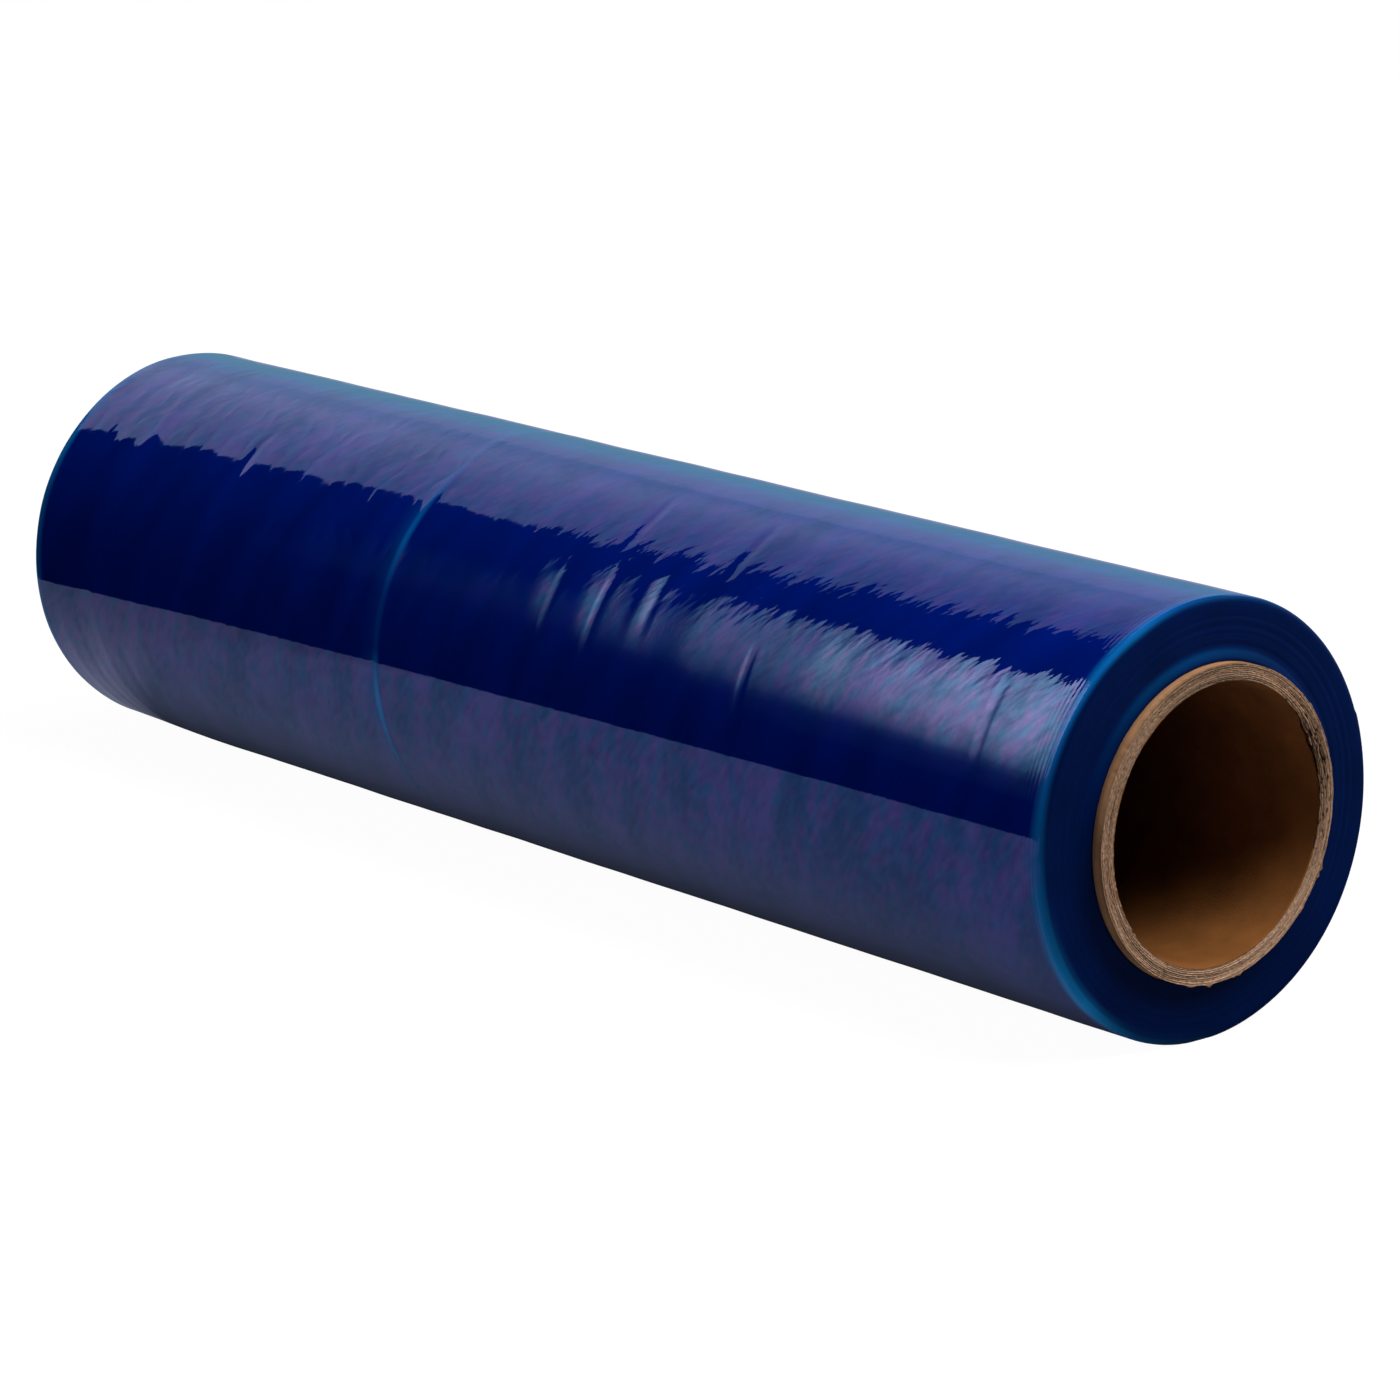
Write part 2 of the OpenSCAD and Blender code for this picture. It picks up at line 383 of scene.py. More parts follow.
def add_node(tree, kind, inputs=None, **settings):
    """Adds a shader node, sets its properties, and sets or links its inputs. A node stands for its first output."""
    node = tree.nodes.new("ShaderNode" + kind)
    for name, value in settings.items():
        setattr(node, name, value)
    for name, value in (inputs or {}).items():
        if isinstance(value, bpy.types.Node):
            value = value.outputs[0]
        if isinstance(value, bpy.types.NodeSocket):
            tree.links.new(value, node.inputs[name])
        else:
            node.inputs[name].default_value = value
    return node


def new_material(name):
    """An empty node material with its output node."""
    material = bpy.data.materials.new(name)
    material.use_nodes = True
    material.node_tree.nodes.clear()
    return material, material.node_tree, material.node_tree.nodes.new("ShaderNodeOutputMaterial")


def fill_ramp(node, stops):
    """Sets a colour ramp's stops from places and linear colours."""
    elements = node.color_ramp.elements
    elements.remove(elements[1])
    for i, (place, colour) in enumerate(stops):
        stop = elements[0] if i == 0 else elements.new(place)
        stop.position = place
        stop.color = (*colour, 1)


def shaded(colour, share):
    """A colour made darker or lighter by a share."""
    return (*(share * c for c in colour[:3]), 1)


# Sockets of the colour Mix node, whose names repeat for each kind of data
FACTOR, FIRST, SECOND, RESULT = 0, 6, 7, 2
# Noises on the film laid out flat: slant in radians, width and length in metres, detail and roughness.
# Streaks where the turns cling more or less, mottling from 8 mm down to 1 mm wide, a grain, and gathers
# combed to a slant, broad and fine
FILM_NOISES = {
    "streaks": (-0.35, 0.012, 0.050, 1.0, 0.5), "mottle": (-0.30, 0.008, 0.012, 3.0, 0.85),
    "grain": (-0.40, 0.0035, 0.008, 1.0, 0.5), "broad": (-0.60, 0.006, 0.016, 2.0, 0.5),
    "fine": (-0.70, 0.0018, 0.006, 2.0, 0.5)}
# Heights in mm of the puckers, the gathers, the last turns' edges and the mottling
PUCKER_MM, BROAD_MM, FINE_MM, EDGE_MM, MOTTLE_MM = 0.06, 0.20, 0.032, 0.012, 0.014
# Width of a pucker, pitch of their rows, how far a row leans for each metre along, and the place and angle
# of a point on one row
PUCKER_WIDTH, ROW_PITCH, ROW_LEAN = 0.009, 0.024, 0.0365
ROW_PLACE, ROW_ANGLE = -0.137, 137
# Pitch of the last turns' edges, and where they begin and are highest
EDGE_PITCH, EDGES_FROM, EDGES_FULL = 0.0014, 0.218, 0.226
# Light that the film mirrors, linear: teal where the turns cling, and violet elsewhere
TEAL, VIOLET = (0.10, 0.68, 1.0, 1), (0.75, 0.44, 0.97, 1)
# The fold, from 10 mm left of it to 5 mm right: share of the way, and light. It is a line 3 mm wide where
# the film lies double, and 8 mm to its left are loose.
FOLD_LEFT, FOLD_RIGHT = 0.010, 0.005
FOLD_LINE = [(0.1, 0.0), (0.35, 0.10), (0.54, 0.28), (0.64, 1.0), (0.70, 0.85), (0.79, 0.0)]


def film_relief(tree, flat, noise, marks, outer_r):
    """Height in mm of what is too fine for the mesh: puckers, gathers, the last turns' edges and mottling."""
    along, around = add_node(tree, "SeparateXYZ", {0: flat}).outputs[:2]
    # Puckers: the film bulges between gathers, in rows that lean along the roll
    wander = add_node(tree, "TexNoise", {"Vector": flat, "Scale": 60.0, "Detail": 1.0})
    lobe_at = add_node(tree, "Math", {0: along, 1: math.pi / PUCKER_WIDTH}, operation="MULTIPLY")
    lobe_turn = add_node(tree, "Math", {0: wander, 1: 7.0, 2: lobe_at}, operation="MULTIPLY_ADD")
    lobe_wave = add_node(tree, "Math", {0: lobe_turn}, operation="SINE")
    lobes = add_node(tree, "Math", {0: lobe_wave}, operation="ABSOLUTE")
    row_at = add_node(tree, "Math", {0: along, 1: -ROW_LEAN, 2: around}, operation="MULTIPLY_ADD")
    row_start = math.radians(ROW_ANGLE) * outer_r - ROW_LEAN * ROW_PLACE
    row_turn = add_node(tree, "Math", {
        0: row_at, 1: math.tau / ROW_PITCH, 2: -math.tau * row_start / ROW_PITCH}, operation="MULTIPLY_ADD")
    rows = add_node(tree, "Math", {0: row_turn}, operation="SINE")
    puckers = add_node(tree, "Math", {0: lobes, 1: rows}, operation="MULTIPLY")
    pucker_mm = add_node(tree, "Math", {0: marks["puckers"], 1: PUCKER_MM}, operation="MULTIPLY")
    # Gathers, with the fine ones on the broad ones, both about a middle of 0
    fine_mm = add_node(tree, "Math", {0: noise["fine"], 1: FINE_MM, 2: -FINE_MM / 2}, operation="MULTIPLY_ADD")
    both_mm = add_node(tree, "Math", {0: noise["broad"], 1: BROAD_MM, 2: fine_mm}, operation="MULTIPLY_ADD")
    combed = add_node(tree, "Math", {0: both_mm, 1: -BROAD_MM / 2})
    # The last turns' edges by the near end's rim, and mottling all over
    mottle_mm = add_node(tree, "Math", {0: noise["mottle"], 1: MOTTLE_MM}, operation="MULTIPLY")
    edge_at = add_node(tree, "Math", {0: along, 1: math.tau / EDGE_PITCH}, operation="MULTIPLY")
    edge_wave = add_node(tree, "Math", {0: edge_at}, operation="SINE")
    edge_mm = add_node(tree, "MapRange", {
        "Value": along, "From Min": EDGES_FROM, "From Max": EDGES_FULL, "To Min": 0.0, "To Max": EDGE_MM})
    height = add_node(tree, "Math", {0: edge_wave, 1: edge_mm, 2: mottle_mm}, operation="MULTIPLY_ADD")
    for shape, share in ((puckers, pucker_mm), (combed, marks["gathers"])):
        height = add_node(tree, "Math", {0: shape, 1: share, 2: height}, operation="MULTIPLY_ADD")
    return height


def film_colour(tree, flat, noise, marks, s):
    """Navy where many turns lie on each other, and cyan where only a few do, with painted light at the end edges,
    the collar and the fold. Gives the fold's share with its painted light, too.
    """
    cloud = add_node(tree, "MapRange", {"Value": noise["streaks"], "From Min": 0.3, "From Max": 0.7})
    depth = add_node(tree, "Mix", {
        FACTOR: cloud, FIRST: shaded(s.deep, 0.84), SECOND: shaded(s.deep, 1.16)}, data_type="RGBA")
    along = add_node(tree, "SeparateXYZ", {0: flat})
    fold_at = FOLDS[0][0] * MM
    past_fold = add_node(tree, "MapRange", {
        "Value": along, "From Min": fold_at - FOLD_LEFT, "From Max": fold_at + FOLD_RIGHT})
    line = add_node(tree, "ValToRGB", {"Fac": past_fold})
    fill_ramp(line, [(place, (share, share, share)) for place, share in FOLD_LINE])
    # The fold's line, brightened by its painted light
    fold_with_painted_light = add_node(tree, "Math", {0: line, 1: marks["fold"]}, operation="MULTIPLY")
    wound = add_node(tree, "Mix", {
        FACTOR: marks["loose"], FIRST: depth.outputs[RESULT], SECOND: tuple(s.thin)}, data_type="RGBA")
    colour = add_node(tree, "Mix", {
        FACTOR: fold_with_painted_light, FIRST: wound.outputs[RESULT], SECOND: tuple(s.double)}, data_type="RGBA")
    return colour.outputs[RESULT], fold_with_painted_light


def film_material(s):
    """Blown LLDPE stretch film dyed blue: clear and glossy, so a few turns are cyan and many are navy.
    Reflections come from many clear turns at once, and are blue, violet here and teal there."""
    material, tree, out = new_material("blue_stretch_film")
    flat = add_node(tree, "UVMap", uv_map="wrap")
    noise = {}
    for name, (slant, width, length, detail, roughness) in FILM_NOISES.items():
        at = add_node(tree, "Mapping", {
            "Vector": flat, "Rotation": (0, 0, slant), "Scale": (width, length, 1)}, vector_type="TEXTURE")
        noise[name] = add_node(tree, "TexNoise", {
            "Vector": at, "Scale": 1.0, "Detail": detail, "Roughness": roughness})
    marks = {name: add_node(tree, "Attribute", attribute_name=name).outputs["Fac"]
             for name in ("loose", "fold", "puckers", "gathers", "pale")}

    grain_and_streaks = add_node(tree, "Math", {
        0: noise["grain"], 1: 1.6, 2: noise["streaks"]}, operation="MULTIPLY_ADD")
    shade = add_node(tree, "Math", {0: grain_and_streaks, 1: noise["mottle"]})
    mixed = add_node(tree, "MapRange", {"Value": shade, "From Min": 1.60, "From Max": 2.00})
    # Stretched whiter at the near end, where the colours mix
    violet_share = add_node(tree, "Mix", {0: marks["pale"], 2: mixed, 3: 0.5})
    tint = add_node(tree, "Mix", {FACTOR: violet_share, FIRST: TEAL, SECOND: VIOLET}, data_type="RGBA")
    colour, fold_with_painted_light = film_colour(tree, flat, noise, marks, s)
    height = film_relief(tree, flat, noise, marks, s.outer_r)
    bump = add_node(tree, "Bump", {"Height": height, "Strength": 1.0, "Distance": MM})

    # Gloss changes with the streaks, the mottling and the fine gathers, and loose film bends reflections away where
    # the fold and the end edges carry painted light
    clinging = add_node(tree, "Math", {0: noise["streaks"], 1: noise["mottle"]})
    bright = add_node(tree, "Math", {0: clinging, 1: noise["fine"]})
    gloss = add_node(tree, "MapRange", {
        "Value": bright, "From Min": 1.2, "From Max": 1.8, "To Min": 0.34, "To Max": 0.66})
    slack = add_node(tree, "Math", {0: fold_with_painted_light, 1: marks["loose"]}, operation="MAXIMUM")
    kept_gloss = add_node(tree, "MapRange", {
        "Value": slack, "From Min": 0.0, "From Max": 0.25, "To Min": 1.0, "To Max": 0.35})
    level = add_node(tree, "Math", {0: gloss, 1: kept_gloss}, operation="MULTIPLY")
    shader = add_node(tree, "BsdfPrincipled", {
        "Base Color": colour, "Roughness": 0.04, "IOR": 1.5, "Normal": bump,
        "Specular Tint": tint.outputs[RESULT], "Specular IOR Level": level})
    tree.links.new(shader.outputs[0], out.inputs[0])
    return material


def edge_material(s):
    """The cut edges of the wound film: thousands of film edges, dull and dark, in rings of light and dark turns,
    with painted light in cyan at the end edges and the collar.
    """
    material, tree, out = new_material("wound_film_edges")
    coords = add_node(tree, "TexCoord").outputs["Object"]
    centred = add_node(tree, "Mapping", {"Vector": coords, "Location": (0, 0, -AXIS_Z)})
    yz = add_node(tree, "SeparateXYZ", {0: centred})
    across = add_node(tree, "CombineXYZ", {1: yz.outputs[1], 2: yz.outputs[2]})
    radius = add_node(tree, "VectorMath", {0: across}, operation="LENGTH").outputs["Value"]
    # Rings from 0.6 mm wide upwards
    rings_at = add_node(tree, "Math", {0: radius, 1: 1 / 0.0012}, operation="MULTIPLY")
    rings = add_node(tree, "TexNoise", {"W": rings_at, "Scale": 1.0, "Detail": 3.0},
                     noise_dimensions="1D")
    cloud = add_node(tree, "TexNoise", {"Vector": centred, "Scale": 60.0, "Detail": 3.0})
    both = add_node(tree, "Math", {0: rings, 1: cloud}, operation="MULTIPLY")
    share = add_node(tree, "MapRange", {"Value": both, "From Min": 0.15, "From Max": 0.4})
    plain = add_node(tree, "Mix", {
        FACTOR: share, FIRST: shaded(s.edges, 0.85), SECOND: shaded(s.edges, 1.2)}, data_type="RGBA")
    # Painted light in cyan at the end edges and in the collar
    loose = add_node(tree, "Attribute", attribute_name="loose").outputs["Fac"]
    colour = add_node(tree, "Mix", {
        FACTOR: loose, FIRST: plain.outputs[RESULT], SECOND: tuple(s.thin)}, data_type="RGBA")
    bump = add_node(tree, "Bump", {"Height": rings, "Strength": 0.5, "Distance": 0.0001})
    shader = add_node(tree, "BsdfPrincipled", {
        "Base Color": colour.outputs[RESULT], "Roughness": 0.55, "Specular IOR Level": 0.2,
        "Specular Tint": (0.1, 0.5, 1.0, 1), "Normal": bump})
    tree.links.new(shader.outputs[0], out.inputs[0])
    return material


# Core, with places, heights and depths in mm and angles round the roll in degrees

# Tufts of torn fibre that stick out at the near end: angle, reach, and rise
TUFTS = [(297, 5, 0.7), (312, 3, 0.4), (350, 6, 0.5), (3, 5, 0.6), (12, 4, 0.4), (232, 4, 0.3)]
# How much painted light makes the sawn end paler: angle, and share
PAINTED_LIGHT_ON_END = [
    (0, 0.85), (30, 0.8), (90, 0.7), (120, 0.35), (150, 0.0), (180, 0.08), (210, 1.0), (250, 0.75), (290, 0.53),
    (330, 0.78), (360, 0.85)]
# Rings of faces: across a ply as shares of it, and in from the end on the outside and in the bore
PLY_RINGS, OUTSIDE_RINGS, BORE_RINGS = (0.93, 0.75, 0.4, 0.07), (3, 0.4), (0.4, 1.2, 3)
# The most that a whole ply stops short of the end, and the middle of the crumbled plies at the back
PLY_SHORT, CRUMBLED_ANGLE = 0.35, 250


class WRAP_OT_core(bpy.types.Operator):
    """Winds the cardboard core: plies whose sawn ends stand at different heights, torn and parted at the back"""
    bl_idname = "wrap.core"
    bl_label = "Cardboard core"

    def execute(self, context):
        s = context.scene.wrap_core
        plies = round((CORE_R - BORE_R) / s.ply)
        end = [(CORE_HALF - depth * MM, CORE_R) for depth in OUTSIDE_RINGS]
        for i in range(plies - 1, -1, -1):
            end += [(CORE_HALF - 0.1 * MM, BORE_R + (i + share) * s.ply) for share in PLY_RINGS]
        end += [(CORE_HALF - depth * MM, BORE_R) for depth in BORE_RINGS]
        inside = [(x * CORE_HALF, BORE_R) for x in (0.9, 0.7, 0.4, 0, -0.4, -0.7, -0.9)]
        outside = [(x, CORE_R) for x, _ in reversed(inside)]
        profile = end + inside + [(-x, r) for x, r in reversed(end)] + outside
        materials = board_material(s), cut_material(s)
        piece = new_piece("board_core", spin_profile(profile, s.spokes), "core_tube", materials)
        shape_core(piece.data, s)
        return {"FINISHED"}


def shape_core(mesh, s):
    """Saws the core's ends: plies at different heights, gaps between them, and torn inner plies. Marks where the
    sawn ends get painted shade and painted light.
    """
    x, r, a = cylinder_coordinates(mesh)
    half, bore, outer, ply = CORE_HALF / MM, BORE_R / MM, CORE_R / MM, s.ply / MM
    # Depth is 0 at the bore and 1 at the outside
    turn, depth = a / 360, (r - bore) / (outer - bore)
    at_end = between(np.abs(x), half - 0.6, half - 0.2)
    from_crumbled = apart(a, CRUMBLED_ANGLE)
    plies = round((outer - bore) / ply)
    number = np.clip(np.floor((r - bore) / ply), 0, plies - 1).astype(int)
    in_ply = (r - bore) / ply - number
    heights = np.random.default_rng(5).uniform(0.0, PLY_SHORT, (2, plies))
    cut = heights[(x > 0).astype(int), number]
    cut += 0.07 * (lattice(number / plies, turn, plies, 90, 31) + 1) + 0.08 * (lattice(depth, turn, 6, 260, 32) + 1)
    # The plies part at the back, and the inner ones are torn away above the middle there
    parted = 0.25 + 0.45 * between(from_crumbled, 60, 0)
    groove = between(np.abs(in_ply - 0.5), 0.3, 0.45)
    cut += groove * parted * (0.35 + 0.65 * (lattice(depth, turn, 8, 44, 33) + 1))
    # How far each ply sits below the end, for its painted shade
    recess_painted_shade = at_end * cut / 2
    torn = between(apart(a, 243), 34, 0) * between(0.25 * lattice(depth, turn, 4, 40, 34) - depth, -0.55, -0.35)
    cut += torn * (0.6 + 0.6 * lattice(depth, turn, 5, 70, 35))
    sawn_x = np.where(np.abs(x) > half - 1, np.sign(x) * (half - at_end * np.maximum(cut, 0)), x)

    edge_wave = 0.10 * lattice(depth, turn, 3, 120, 36) * at_end * (r > outer - 0.1)
    tufts = sum(rise * between(apart(a, middle), reach, 0) for middle, reach, rise in TUFTS)
    tufts *= at_end * between(depth, 0.8, 1) * (1 + lattice(depth, turn, 3, 240, 37)) * (x > 0)
    crumbled = between(from_crumbled, 50, 0)
    frayed = (0.05 + 0.20 * crumbled) * (lattice(depth, turn, 3, 70, 38) + 0.6 * lattice(depth, turn, 3, 190, 39))
    frayed *= at_end * between(depth, 0.2, 0)
    # The crumbled plies are also bent into the bore a little
    bent = 0.8 * crumbled * (0.7 + 0.3 * lattice(depth, turn, 3, 90, 40)) * at_end * between(depth, 0.5, 0)
    write_uv(mesh, r, a, (bore + outer) / 2)
    write_cylinder(mesh, sawn_x, r - np.abs(edge_wave) + np.abs(frayed) - bent + tufts, a)

    # Painted shade on the inner plies at the back
    inner_painted_shade = 0.14 * between(apart(a, 262), 62, 0) * between(depth, 0.75, 0.15)
    write_attribute(mesh, "depth", depth)
    # Painted shade where plies sit below the end and where they are torn away, and on the inner plies at the back
    write_attribute(mesh, "recess_painted_shade", recess_painted_shade + 0.15 * at_end * torn + inner_painted_shade)
    # The crumbled plies, which get painted shade in the material
    write_attribute(mesh, "crumbled", crumbled * between(depth, 0.85, 0.45))
    # Painted light that makes the sawn end paler round it
    write_attribute(mesh, "painted_end_light", looked_up(a, PAINTED_LIGHT_ON_END))
    # The sawn ends, but not the bore and the outside
    give_second_material(
        mesh, lambda away, radius: (away > half - 2.6) & (np.abs(radius - bore) > 0.03) & (radius < outer - 0.03))


def board_material(s):
    """The wound faces of the core: brown kraft paper, dry, with faint fibres, blotches, and painted shade deep in
    the bore.
    """
    material, tree, out = new_material("kraft_core_board")
    coords = add_node(tree, "TexCoord").outputs["Object"]
    # Fibres half a millimetre long, and blotches of 14 mm
    fibres = add_node(tree, "TexNoise", {"Vector": coords, "Scale": 2000.0, "Detail": 3.0})
    blotch = add_node(tree, "TexNoise", {"Vector": coords, "Scale": 70.0, "Detail": 4.0})
    shade = add_node(tree, "MapRange", {
        "Value": blotch, "From Min": 0.3, "From Max": 0.7, "To Min": 0.72, "To Max": 1.15})
    # Painted shade in the bore: darker from 8 mm to 60 mm in from the end
    place = add_node(tree, "SeparateXYZ", {0: coords}).outputs["X"]
    along = add_node(tree, "Math", {0: place}, operation="ABSOLUTE")
    bore_painted_shade = add_node(tree, "MapRange", {
        "Value": along, "From Min": CORE_HALF - 0.060, "From Max": CORE_HALF - 0.008,
        "To Min": 0.40, "To Max": 1.05})
    bore = add_node(tree, "Mix", {
        FACTOR: 1.0, FIRST: tuple(s.bore), SECOND: bore_painted_shade}, data_type="RGBA", blend_type="MULTIPLY")
    depth = add_node(tree, "Attribute", attribute_name="depth").outputs["Fac"]
    plain = add_node(tree, "Mix", {
        FACTOR: depth, FIRST: bore.outputs[RESULT], SECOND: tuple(s.outer)}, data_type="RGBA")
    colour = add_node(tree, "Mix", {
        FACTOR: 1.0, FIRST: plain.outputs[RESULT], SECOND: shade}, data_type="RGBA", blend_type="MULTIPLY")
    bump = add_node(tree, "Bump", {"Height": fibres, "Strength": 0.4, "Distance": 0.0002})
    shader = add_node(tree, "BsdfPrincipled", {
        "Base Color": colour.outputs[RESULT], "Roughness": 0.85, "Specular IOR Level": 0.2,
        "Normal": bump})
    tree.links.new(shader.outputs[0], out.inputs[0])
    return material


# Noises on the sawn end laid out flat: width across the plies and length round the end in metres, and detail. Torn
# fibres, ply lines, and gaps where plies have come apart, which get painted shade
CUT_NOISES = {"fibres": (0.0004, 0.0011, 4.0), "lines": (0.0003, 0.030, 2.0), "gaps": (0.0004, 0.003, 2.0)}


def cut_material(s):
    """The sawn ends of the core: grey-brown torn fibres in plies, with painted shade in the gaps between them,
    where plies sit deep and over crumbled plies, and painted light that makes them paler round the end.
    """
    material, tree, out = new_material("sawn_core_board")
    flat = add_node(tree, "UVMap", uv_map="wrap")
    noise = {}
    for name, (width, length, detail) in CUT_NOISES.items():
        at = add_node(tree, "Mapping", {"Vector": flat, "Scale": (width, length, 1)}, vector_type="TEXTURE")
        noise[name] = add_node(tree, "TexNoise", {"Vector": at, "Scale": 1.0, "Detail": detail})
    marks = {name: add_node(tree, "Attribute", attribute_name=name).outputs["Fac"]
             for name in ("recess_painted_shade", "painted_end_light", "crumbled")}

    grain = add_node(tree, "Math", {0: noise["fibres"], 1: noise["lines"]})
    lit = add_node(tree, "MapRange", {
        "Value": grain, "From Min": 0.75, "From Max": 1.25, "To Min": 0.45, "To Max": 1.5})
    # Paler where painted light falls on the sawn end
    end_grain_with_painted_light = add_node(tree, "Mix", {
        FACTOR: marks["painted_end_light"], FIRST: tuple(s.cut), SECOND: tuple(s.painted_end_light)}, data_type="RGBA").outputs[RESULT]
    base = add_node(tree, "Mix", {FACTOR: 1.0, FIRST: end_grain_with_painted_light, SECOND: lit}, data_type="RGBA", blend_type="MULTIPLY")
    # Painted shade in gaps, with more gaps where the inner plies have crumbled
    broken = add_node(tree, "Math", {0: marks["crumbled"], 1: 0.14, 2: noise["gaps"]}, operation="MULTIPLY_ADD")
    torn = add_node(tree, "MapRange", {"Value": broken, "From Min": 0.62, "From Max": 0.74})
    # Painted shade where plies sit deep, are torn away or lie on the inside at the back
    deep = add_node(tree, "MapRange", {"Value": marks["recess_painted_shade"], "From Min": 0.3, "From Max": 0.8})
    darkest_painted_shade = add_node(tree, "Math", {0: torn, 1: deep}, operation="MAXIMUM")
    # More painted shade over the crumbled plies
    painted_shade_share = add_node(tree, "Math", {
        0: marks["crumbled"], 1: 0.3, 2: darkest_painted_shade}, operation="MULTIPLY_ADD", use_clamp=True)
    colour = add_node(tree, "Mix", {
        FACTOR: painted_shade_share, FIRST: base.outputs[RESULT], SECOND: tuple(s.gap)}, data_type="RGBA")
    bump = add_node(tree, "Bump", {"Height": noise["fibres"], "Strength": 0.8, "Distance": 0.0004})
    shader = add_node(tree, "BsdfPrincipled", {
        "Base Color": colour.outputs[RESULT], "Roughness": 0.95, "Specular IOR Level": 0.1,
        "Normal": bump})
    tree.links.new(shader.outputs[0], out.inputs[0])
    return material


# Studio, in metres and degrees

# The camera, from a fit to the photograph's outline: where it stands from the middle of the near end
# of the film, and where it looks
CAMERA_AZIMUTH, CAMERA_ELEVATION, CAMERA_DISTANCE = 44.337, 15.142, 1.4218
LOOK_YAW, LOOK_PITCH, LOOK_FROM_X = 49.82, 13.934, 0.2285
# Width of its sensor in mm, and how far it sees
SENSOR, SEES = 36, 20
# Front and back edges of the white table
TABLE_FRONT = [(1.2, -1.7), (-0.08, -0.39), (-0.217, -0.239), (-0.359, -0.146), (-1.4, 0.5)]
TABLE_BACK = [(3.5, 3.5), (1.0, 3.5), (-0.5, 3.0), (-1.5, 2.6), (-2.5, 2.5)]
# The table mirrored in the film: its tones from front to back, by place across the roll
TABLE_TONES = [
    (-0.3, 1.0), (-0.207, 0.95), (-0.112, 0.82), (-0.076, 0.62), (-0.055, 0.44), (-0.041, 0.24),
    (-0.029, 0.09), (-0.019, 0.03), (0.05, 0.03), (0.6, 0.35)]
TABLE_COLOUR, TABLE_PAST_END = (0.53, 0.64, 1.0), (0.42, 0.46, 0.68, 1)
# Front and back edges of the big overhead softbox, its height, and how many rows of points it has
OVERHEAD_FRONT = [(-1.70, -0.43), (-1.552, -0.365), (-1.023, -0.146), (-0.682, 0.130), (-0.45, 0.30)]
OVERHEAD_BACK = [(-2.90, 1.72), (-2.602, 1.537), (-1.515, 1.045), (-1.126, 1.126), (-0.86, 1.17)]
OVERHEAD_Z, OVERHEAD_ROWS = 1.0, 12
# Its light by place along the roll, and its colours in front and at its back
OVERHEAD_LEVELS = [(-1.6, 1.35), (-1.45, 1.3), (-1.07, 1.05), (-0.7, 0.75), (-0.5, 0.65)]
OVERHEAD_COLOUR, OVERHEAD_BACK_COLOUR = np.array((0.575, 0.655, 0.87)), np.array((0.35, 0.52, 0.74))
# The strip softbox stands in an upright plane. Its left edge is (up, along) in that plane
STRIP_AT, STRIP_WAY = Vector((-0.778, -0.541, 0)), Vector((0.63, -0.78, 0))
STRIP_LEFT = [
    (0.17, 0.065), (0.47, 0.0), (0.79, -0.135), (0.905, -0.18), (0.968, -0.181), (1.155, -0.165), (1.35, -0.15)]
STRIP_RIGHT, STRIP_POINTS = 0.48, 40
# Its light along it, slanted by a share of the height, and its light by height
STRIP_SLANT, STRIP_MIDDLE = 0.57, 0.532
STRIP_ACROSS = [
    (0.0, 0.05), (0.03, 0.11), (0.06, 0.22), (0.084, 0.56), (0.12, 0.58), (0.16, 0.76), (0.2, 1.32),
    (0.265, 1.85), (0.35, 2.2)]
STRIP_UP = [(0.17, 0.01), (0.30, 0.045), (0.35, 0.13), (0.40, 0.36), (0.50, 0.65), (0.60, 0.83), (0.80, 1.0)]
# A faint light spills past its left edge, and how far
SPILL, SPILL_WIDTH = np.array((0.004, 0.020, 0.032)), 0.01
# Lamps: name, place, size, and power in watts
LAMPS = [
    ("top_lamp", (0.35, 0.1, 1.6), 0.8, 10), ("end_lamp", (0.95, 0.45, 1.25), 0.8, 16.5),
    ("front_lamp", (-0.6, -1.3, 0.9), 0.6, 6)]
# The backdrop mirrored in the film: its tones by how steeply a ray rises, between a lowest and a highest
BACKDROP_LOW, BACKDROP_HIGH = -0.1, 0.6
BACKDROP_TONES = [
    (-0.1, (0.10, 0.24, 0.33)), (0.0, (0.17, 0.40, 0.52)), (0.1, (0.21, 0.48, 0.60)),
    (0.2, (0.29, 0.59, 0.80)), (0.26, (0.37, 0.61, 0.85)), (0.32, (0.48, 0.62, 0.88)),
    (0.40, (0.53, 0.68, 1.0)), (0.50, (0.53, 0.68, 1.0)), (0.55, (0.0, 0.0, 0.0))]


def direction(azimuth, elevation):
    a, e = math.radians(azimuth), math.radians(elevation)
    return Vector((math.sin(a) * math.cos(e), -math.cos(a) * math.cos(e), math.sin(e)))


def stage_card(name, rows, tones, material):
    """A card of the studio from rows of points, with the colour of its light at each point."""
    bm = bmesh.new()
    layer = bm.verts.layers.float_color.new("glow")
    grid = [[bm.verts.new(point) for point in row] for row in rows]
    for verts, row_tones in zip(grid, tones):
        for vert, tone in zip(verts, row_tones):
            vert[layer] = (*tone, 1)
    for low, high in zip(grid, grid[1:]):
        for i in range(len(low) - 1):
            bm.faces.new((low[i], low[i + 1], high[i + 1], high[i]))
    mesh = bpy.data.meshes.new(name)
    bm.to_mesh(mesh)
    bm.free()
    card = bpy.data.objects.new(name, mesh)
    bpy.context.scene.collection.objects.link(card)
    mesh.materials.append(material)
    return card


def glow_material(name, strength):
    """The diffuser of a softbox, with the light that its glow attribute says."""
    material, tree, out = new_material(name)
    tone = add_node(tree, "Attribute", attribute_name="glow").outputs["Color"]
    glow = add_node(tree, "Emission", {"Color": tone, "Strength": strength})
    tree.links.new(glow.outputs[0], out.inputs[0])
    return material


